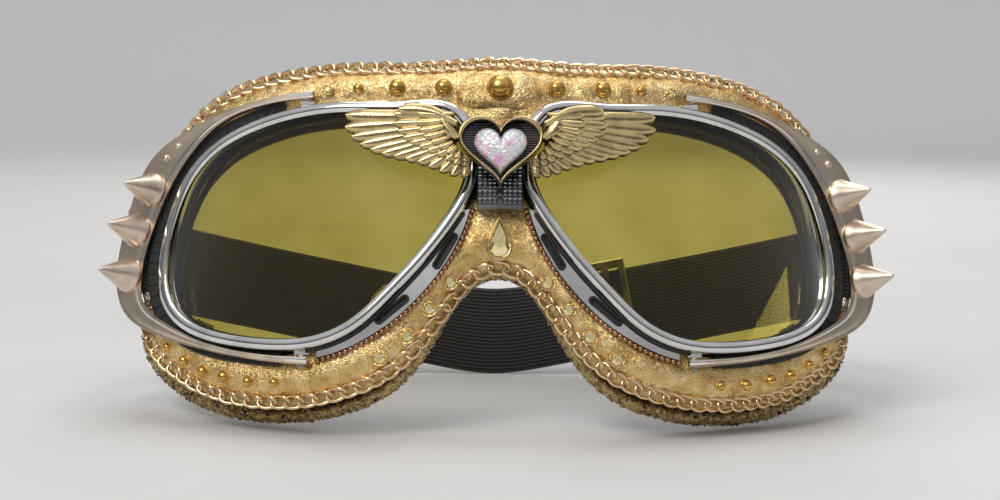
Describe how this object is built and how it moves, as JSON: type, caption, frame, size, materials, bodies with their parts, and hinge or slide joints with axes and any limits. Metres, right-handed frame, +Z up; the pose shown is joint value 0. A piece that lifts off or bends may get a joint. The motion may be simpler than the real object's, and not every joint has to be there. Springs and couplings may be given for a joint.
{
  "type": "motorcycle goggles",
  "caption": "Aviator motorcycle goggles with tinted split lenses, a padded leather face mask, swinging spiked side brackets, chain and stone trim, a winged heart bridge and an elastic strap.",
  "frame": {"origin": "bottom centre of the bounding box, on the surface the goggles stand on", "axes": "+Z up, the lenses face -Y and lean back 18 degrees, +X to the viewer's right"},
  "size_m": [0.201, 0.11, 0.093],
  "materials": {
    "chrome": "polished",
    "tinted_lens": "polished yellow tint",
    "gasket_rubber": "matte",
    "clip_steel": "brushed",
    "vent_mesh": "woven mesh",
    "bead_copper": "antique copper",
    "champagne_metal": "satin champagne gold",
    "pin_steel": "satin",
    "gold_leather": "crackled metallic gold",
    "pad_foam": "closed-cell foam",
    "lining_fleece": "brushed fleece",
    "lurex_trim": "looped metallic yarn",
    "chain_gold": "polished rose gold",
    "half_pearl": "pearlised gold",
    "pale_crystal": "faceted",
    "setting_gold": "polished",
    "knurled_silver": "knurled",
    "black_core": "satin black",
    "antique_brass": "antique",
    "heart_shadow": "oxidised",
    "opal_cabochon": "iridescent",
    "strap_webbing": "ribbed elastic",
    "adjuster_steel": "polished"
  },
  "bodies": {
    "mask": {"badge_casting": "antique_brass", "badge_posts": "antique_brass", "bead_chain_left": "bead_copper", "bead_chain_right": "bead_copper", "bridge_band": "knurled_silver", "bridge_core": "black_core", "bridge_screws": "pin_steel", "brow_pad": "gold_leather", "brow_pearls": "half_pearl", "crystal_settings": "setting_gold", "cup_skirt_left": "gasket_rubber", "cup_skirt_right": "gasket_rubber", "edge_chain": "chain_gold", "edge_trim": "lurex_trim", "eyecup_left": "chrome", "eyecup_right": "chrome", "face_foam": "pad_foam", "face_lining": "lining_fleece", "face_skin": "gold_leather", "gasket_left": "gasket_rubber", "gasket_right": "gasket_rubber", "heart_backing": "heart_shadow", "heart_cabochon": "opal_cabochon", "hinge_pins_left": "pin_steel", "hinge_pins_right": "pin_steel", "lens_clips_left": "clip_steel", "lens_clips_right": "clip_steel", "lens_left": "tinted_lens", "lens_right": "tinted_lens", "pearl_studs_left": "half_pearl", "pearl_studs_right": "half_pearl", "rim_left": "chrome", "rim_right": "chrome", "round_crystals": "pale_crystal", "strap_bar_left": "pin_steel", "strap_bar_right": "pin_steel", "strap_tail": "strap_webbing", "strap_webbing": "strap_webbing", "teardrop_crystal": "pale_crystal", "teardrop_setting": "setting_gold", "vent_mesh_left": "vent_mesh", "vent_mesh_right": "vent_mesh"},
    "outrigger_left": {"outrigger_left": "champagne_metal", "spikes_left": "champagne_metal", "outrigger_studs_left": "champagne_metal"},
    "outrigger_right": {"outrigger_right": "champagne_metal", "spikes_right": "champagne_metal", "outrigger_studs_right": "champagne_metal"},
    "adjuster": {"strap_adjuster": "adjuster_steel"}
  },
  "joints": [
    {"name": "left_bracket_swing", "type": "hinge", "parent": "mask", "child": "outrigger_left", "pos_m": [-0.0475, -0.03639, 0.04857], "axis": [0, 0.309, 0.9511], "range_deg": [0, 25]},
    {"name": "right_bracket_swing", "type": "hinge", "parent": "mask", "child": "outrigger_right", "pos_m": [0.0475, -0.03639, 0.04857], "axis": [0, -0.309, -0.9511], "range_deg": [0, 25]},
    {"name": "adjuster_slide", "type": "slide", "parent": "mask", "child": "adjuster", "axis": [0.9806, 0, 0.1961], "range_m": [-0.015, 0.011]}
  ]
}
